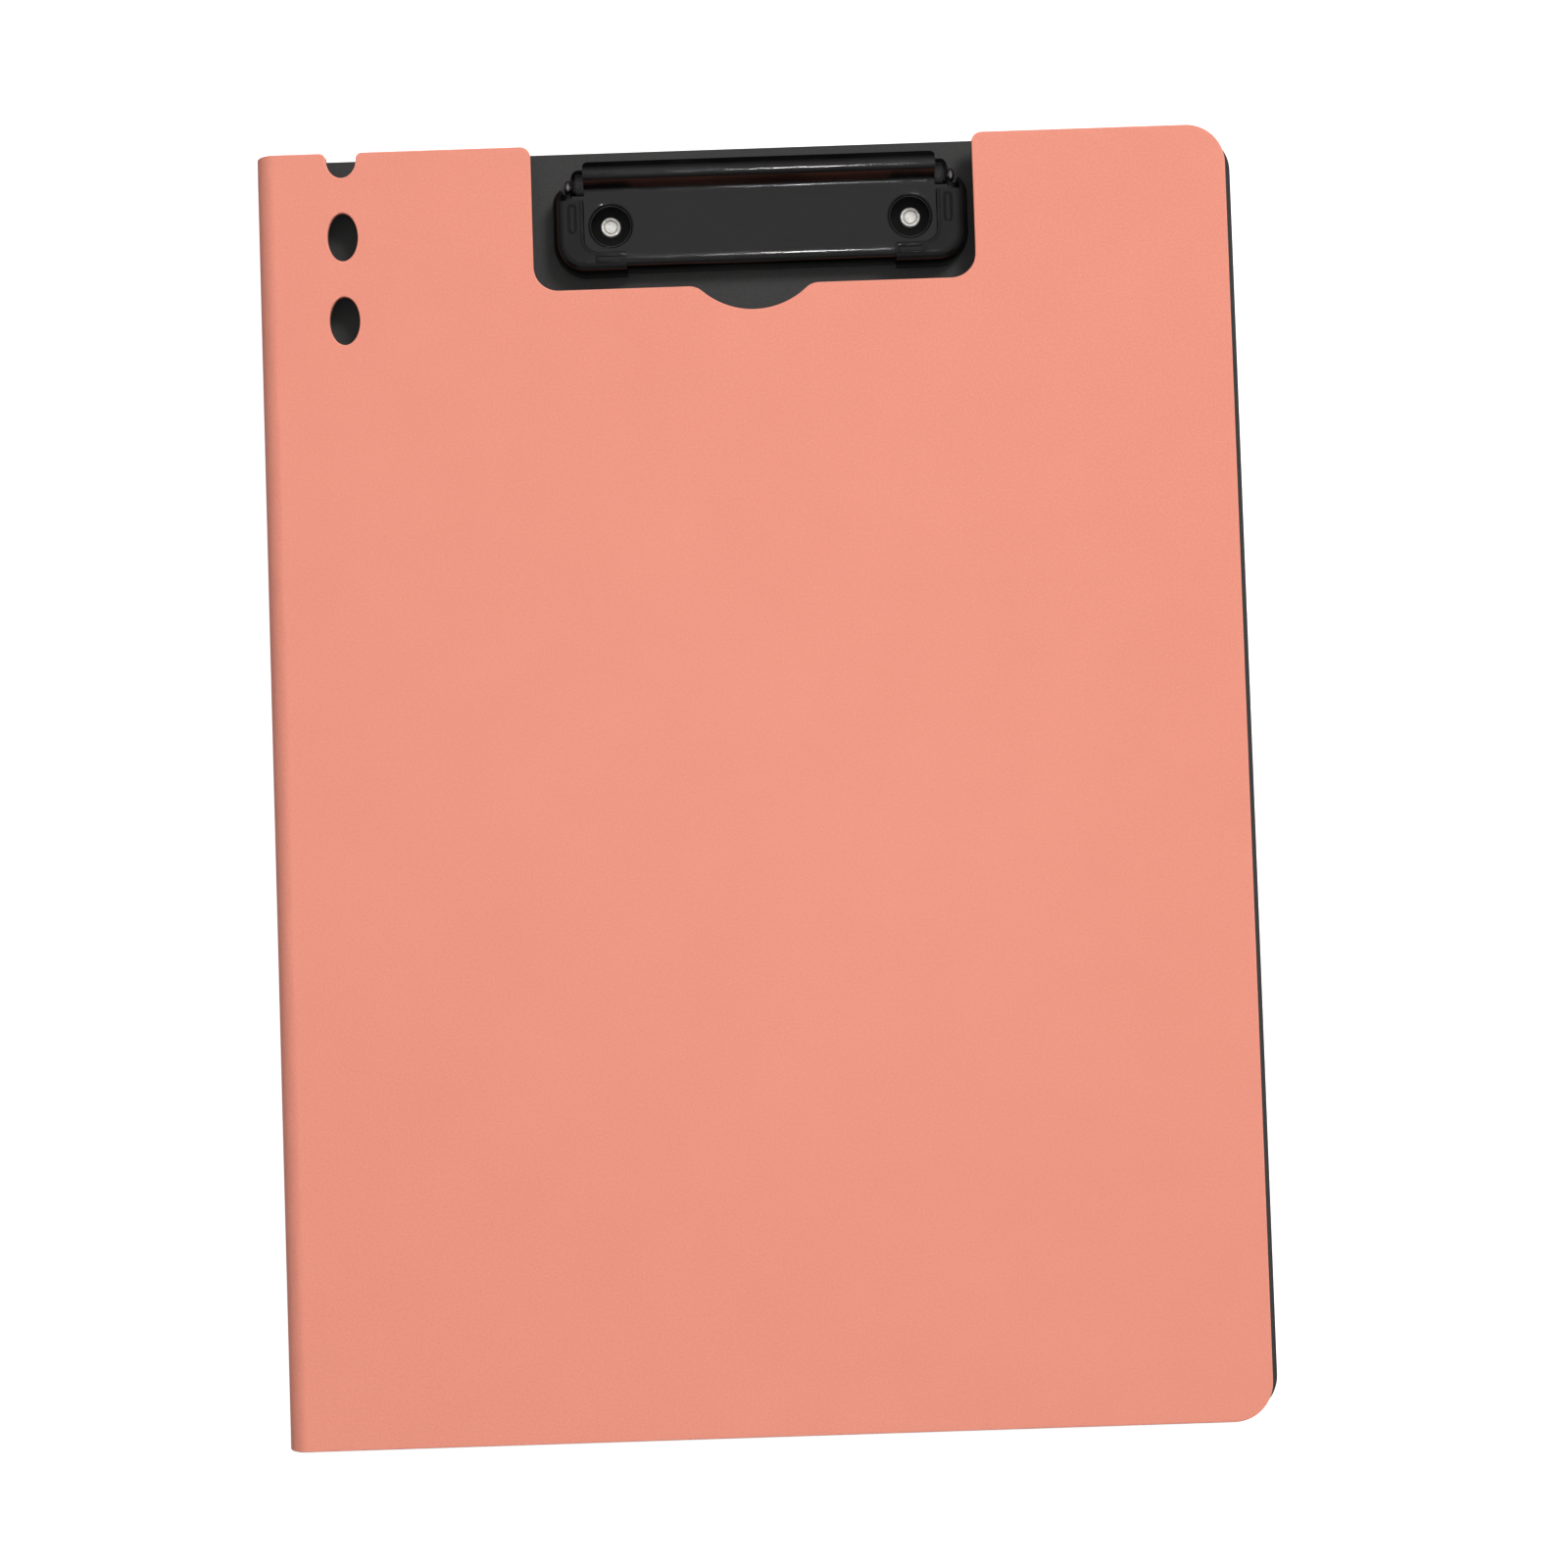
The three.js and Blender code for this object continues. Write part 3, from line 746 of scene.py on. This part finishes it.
def pad_skin():
    """The right pad's outer skin, from its inner edge to its foot, along the L and round the rear corner."""
    grow, edge, bead, inner_r = PAD["grow"], PAD["edge"], PAD["bead"], PAD["inner_r"]
    legs = PAD_LEGS
    half, front, rear = JAW["half"] + grow, JAW["front"] - grow, JAW["rear"] + grow
    outer_r, rear_r = JAW_R["front"] + grow, JAW_R["rear"] + grow
    top = JAW["top"] + grow
    stations = []
    for i in range(13):
        out = (math.cos(math.radians(90 - 7.5 * i)), math.sin(math.radians(90 - 7.5 * i)))
        end = (half - rear_r + rear_r * out[0], rear - rear_r + rear_r * out[1])
        stations.append(((legs["x"], end[1]), end, out))
    for i in range(1, 8):
        y = rear - rear_r + (front + outer_r - rear + rear_r) * i / 8
        stations.append(((legs["x"], y), (half, y), (1, 0)))
    for i in range(25):
        a = math.radians(-90 * i / 24)
        out = (math.cos(a), math.sin(a))
        start = (legs["x"] - inner_r + inner_r * out[0], legs["y"] + inner_r + inner_r * out[1])
        end = (half - outer_r + outer_r * out[0], front + outer_r + outer_r * out[1])
        stations.append((start, end, out))
    for i in range(1, 6):
        x = legs["x"] - inner_r + (legs["end_x"] - legs["x"] + inner_r) * i / 5
        end_x = half - outer_r + (legs["end_x"] - half + outer_r) * i / 5
        stations.append(((x, legs["y"]), (end_x, front), (0, -1)))
    section = list(reversed(edge_section(JAW["foot"] + 0.6, top, edge, 18)))
    face = top - PAD_RECESS
    brim = [(0, top - bead), (0.12, top - 0.08), (0.32, top), (0.6, top), (0.85, top - 0.1), (1.1, face)]
    points = []
    for (ix, iy), (ox, oy), (nx, ny) in stations:
        points += [(ix + nx * d, iy + ny * d, z) for d, z in brim]
        points += [(ox - nx * inset, oy - ny * inset, min(z, face)) for inset, z in section]
    return points, grid_faces(len(stations), len(section) + len(brim))


def outlined_oval(name, x0, x1, y0, y1, base, r):
    """A half-round ridge along the outline of an oval with straight sides."""
    end = min(x1 - x0, y1 - y0) / 2
    if y1 - y0 > x1 - x0:
        turns = [(x0 + end, y1 - end, 0), (x0 + end, y0 + end, 180)]
    else:
        turns = [(x1 - end, y0 + end, -90), (x0 + end, y0 + end, 90)]
    sections = []
    for x, y, first in turns:
        for i in range(17):
            a = math.radians(first + 180 * i / 16)
            ring = arc(end, base, r, 0, 360, 12)[:-1]
            sections.append([(x + d * math.cos(a), y + d * math.sin(a), z) for d, z in ring])
    return ring_body(name, sections, closed=True)


def corner_pad():
    points, faces = pad_skin()
    obj = make_piece("pad", points, faces)
    tidy_mesh(obj)
    bm = bmesh.new()
    bm.from_mesh(obj.data)
    widest = max(bm.faces, key=lambda f: abs(f.normal.z) * f.calc_area())
    if widest.normal.z < 0:
        bmesh.ops.reverse_faces(bm, faces=bm.faces)
    end_y, wrap_x = PAD_LEGS["end_y"] * MM, PAD_LEGS["wrap_x"] * MM
    for at, normal in (((0, end_y, 0), (0, 1, 0)), ((wrap_x, 0, 0), (1, 0, 0))):
        whole = bm.verts[:] + bm.edges[:] + bm.faces[:]
        bmesh.ops.bisect_plane(bm, geom=whole, plane_co=at, plane_no=normal)
    middles = [(f, f.calc_center_median()) for f in bm.faces]
    spare = [f for f, middle in middles if middle.y > end_y and middle.x < wrap_x]
    bmesh.ops.delete(bm, geom=spare, context="FACES")
    bm.to_mesh(obj.data)
    bm.free()
    modifier = obj.modifiers.new("moulding", "SOLIDIFY")
    modifier.thickness = PAD["thickness"] * MM
    modifier.offset = -1
    modifier.use_even_offset = True
    round_edges(obj, 0.2, 3, 50)
    apply_modifiers(obj)
    base_z = JAW["top"] + PAD["grow"] - PAD_RECESS
    upright = outlined_oval("upright_ridge", *RIDGE["upright"], base_z, RIDGE["r"])
    level = outlined_oval("level_ridge", *RIDGE["level"], base_z, RIDGE["r"])
    return join([obj, upright, level], "pad")


right_pad = corner_pad()
shift_x(right_pad, CLIP_X)
left_pad = mirrored(right_pad, "left_pad_moulding")
right_pad.name = right_pad.data.name = "right_pad_moulding"
for side, pad in (("left", left_pad), ("right", right_pad)):
    even_shading(pad, 35)
    dress(pad, plastic, "black_plastic", f"{side}_corner_pad")
    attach(pad, "jaw")


def rivet_profile():
    """The rivet's half section: flat back head, shank, rolled rim, narrow groove and bright core."""
    foot, rim = rivet_low.z, rivet_high.z
    plate = base_low.z + 1.0
    profile = [(0, foot), (4.2, foot), (4.42, foot + 0.06), (4.5, foot + 0.25), (4.5, 0.7), (4.45, 0.75)]
    profile += [(1.6, 0.75), (1.6, plate), (2.2, plate), (2.42, plate + 0.12)]
    profile += arc(2.12, rim - 0.28, 0.3, 0, 90, 6, 0.28)
    profile += arc(1.95, rim - 0.16, 0.16, 90, 180, 5)
    profile += [(1.78, rim - 1.2), (1.46, rim - 1.2), (1.44, rim - 0.3)]
    profile += [(1.36, rim - 0.2), (0.9, rim - 0.14), (0, rim - 0.12)]
    return profile


rivet_x = (rivet_low.x + rivet_high.x) / 2
rivet_y = (rivet_low.y + rivet_high.y) / 2
right_rivet = turned_z("right_rivet_body", rivet_profile(), rivet_x, rivet_y)
left_rivet = mirrored(right_rivet, "left_rivet_body")
for side, rivet in (("left", left_rivet), ("right", right_rivet)):
    dress(rivet, nickel, "nickel", f"{side}_rivet")
    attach(rivet, "back")


def rod_profile():
    """The pivot rod with its two peened heads."""
    reach = (rod_high.x - rod_low.x) / 2 + ROD["beyond_cad"]
    r, head_r, head, dome = ROD["r"], ROD["head_r"], ROD["head"], ROD["dome"]
    right_end = [(reach - head, r), (reach - head, head_r - 0.12), (reach - head + 0.12, head_r)]
    right_end += arc(reach - dome, 0, dome, 90, 0, 10, head_r)
    return [(-x, q) for x, q in reversed(right_end)] + right_end


rod = turned_x("pivot_rod_body", rod_profile())
shift_x(rod, CLIP_X)
dress(rod, steel, "spring_steel", "pivot_rod")
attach(rod, "back")


def swept_wire(name, path, radius, sides=12):
    """A round wire along a path, with slightly rounded ends."""
    path = [Vector(p) for p in path]
    last = len(path) - 1
    tangents = [(path[min(i + 1, last)] - path[max(i - 1, 0)]).normalized() for i in range(last + 1)]
    side = tangents[0].cross(Vector((1, 0, 0))).normalized()
    sections = []
    for i, (at, tangent) in enumerate(zip(path, tangents)):
        side = (side - tangent * side.dot(tangent)).normalized()
        across = tangent.cross(side)
        r = radius * (0.75 if i in (0, last) else 1)
        ring = arc(0, 0, r, 0, 360, sides)[:-1]
        sections.append([tuple(at + c * side + d * across) for c, d in ring])
    obj = ring_body(name, sections)
    even_shading(obj)
    return obj


SPRING = {"x": 18, "wire": 0.8, "mean_r": 1.45, "pitch": 0.95, "turns": 5, "leg": 4, "jaw_leg_angle": 55}


def spring_path():
    """Down the jaw leg, round the rod, and out along the base leg."""
    start, end = 90 + SPRING["jaw_leg_angle"], 270 + 360 * SPRING["turns"]

    def on_coil(angle):
        a = math.radians(angle)
        return Vector((
            CLIP_X + SPRING["x"] + SPRING["pitch"] * (angle - start) / 360,
            PIVOT_Y + SPRING["mean_r"] * math.cos(a),
            PIVOT_Z + SPRING["mean_r"] * math.sin(a),
        ))

    way = math.radians(SPRING["jaw_leg_angle"])
    up_lip = Vector((0, math.cos(way), math.sin(way)))
    along_base = Vector((0, 1, 0))
    path = [on_coil(start) + up_lip * (SPRING["leg"] - s) for s in (0, 0.06, 1, 2, 3)]
    steps = 24 * SPRING["turns"]
    path += [on_coil(start + (end - start) * i / steps) for i in range(steps + 1)]
    path += [on_coil(end) + along_base * s for s in (1, 2, 3, SPRING["leg"] - 0.06, SPRING["leg"])]
    return path


right_spring = swept_wire("right_spring_wire", spring_path(), SPRING["wire"] / 2)
left_spring = mirrored(right_spring, "left_spring_wire")
for side, spring in (("left", left_spring), ("right", right_spring)):
    dress(spring, steel, "spring_steel", f"{side}_torsion_spring")
    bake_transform(spring)

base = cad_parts["clip_base_plate"]
round_edges(base, 0.25, 2, 30)
# The base plate gets the dulled copy of the paint: painted shade inside the access holes.
base.data.materials.clear()
base.data.materials.append(shaded_paint)


# ---- floor, light and camera ----

def make_floor():
    mesh = bpy.data.meshes.new("floor")
    corners = [(-6, -6, 0), (6, -6, 0), (6, 6, 0), (-6, 6, 0)]
    mesh.from_pydata(corners, [], [(0, 1, 2, 3)])
    floor = bpy.data.objects.new("floor", mesh)
    bpy.context.scene.collection.objects.link(floor)
    floor.location.z = -0.0002
    made, _, _, shader, _ = material("floor_paper")
    shader.inputs["Base Color"].default_value = (0.4, 0.4, 0.4, 1)
    shader.inputs["Roughness"].default_value = 0.9
    shader.inputs["Specular IOR Level"].default_value = 0.1
    shader.inputs["Emission Color"].default_value = (1, 1, 1, 1)
    shader.inputs["Emission Strength"].default_value = 0.9
    mesh.materials.append(made)
    floor.visible_glossy = False


def area_light(name, place, aim, width, height, radiance, in_gloss=True):
    """A rectangular panel that sends out the given radiance."""
    data = bpy.data.lights.new(name, "AREA")
    data.shape = "RECTANGLE"
    data.size, data.size_y = width, height
    data.energy = radiance * math.pi * width * height
    lamp = bpy.data.objects.new(name, data)
    bpy.context.scene.collection.objects.link(lamp)
    lamp.location = place
    lamp.rotation_euler = (Vector(aim) - Vector(place)).to_track_quat("-Z", "Y").to_euler()
    lamp.visible_glossy = in_gloss
    lamp.visible_camera = False


def make_world():
    world = bpy.data.worlds.new("studio")
    bpy.context.scene.world = world
    world.use_nodes = True
    background = world.node_tree.nodes["Background"]
    background.inputs["Color"].default_value = (1, 1, 1, 1)
    background.inputs["Strength"].default_value = 1.0
    world.cycles_visibility.diffuse = False
    world.cycles_visibility.glossy = False


make_floor()
make_world()
area_light("key", (2.4, 3.0, 3.8), (0, 0, 0), 1.8, 1.8, 31, in_gloss=False)
area_light("ceiling", (0.0, 0.36, 1.2), (0, 0.1, 0), 0.9, 0.7, 0.2)
area_light("dome", (0, 0, 4), (0, 0, 0), 9.0, 9.0, 0.33)
for name, x, y in (("east", 2.4, 0), ("west", -2.4, 0), ("north", 0, 2.4), ("south", 0, -2.4)):
    area_light(f"soft_wall_{name}", (x, y, 1.3), (0, 0, 0.3), 3.0, 1.8, 0.14)
area_light("lamp_left", (0.0137, 0.0, 0.60), (0.03, 0.13, 0), 0.012, 0.012, 500)
area_light("lamp_right", (0.029, 0.0, 0.60), (0.03, 0.13, 0), 0.010, 0.010, 500)

camera_data = bpy.data.cameras.new("camera")
camera_data.lens = 54
camera_data.clip_start = 0.01
camera = bpy.data.objects.new("camera", camera_data)
bpy.context.scene.collection.objects.link(camera)
camera.location = (0.0059, -0.0188, 0.580)
camera.rotation_euler = tuple(math.radians(a) for a in (1.83, 0.18, -1.90))
bpy.context.scene.camera = camera
bpy.context.scene.view_settings.view_transform = "Standard"
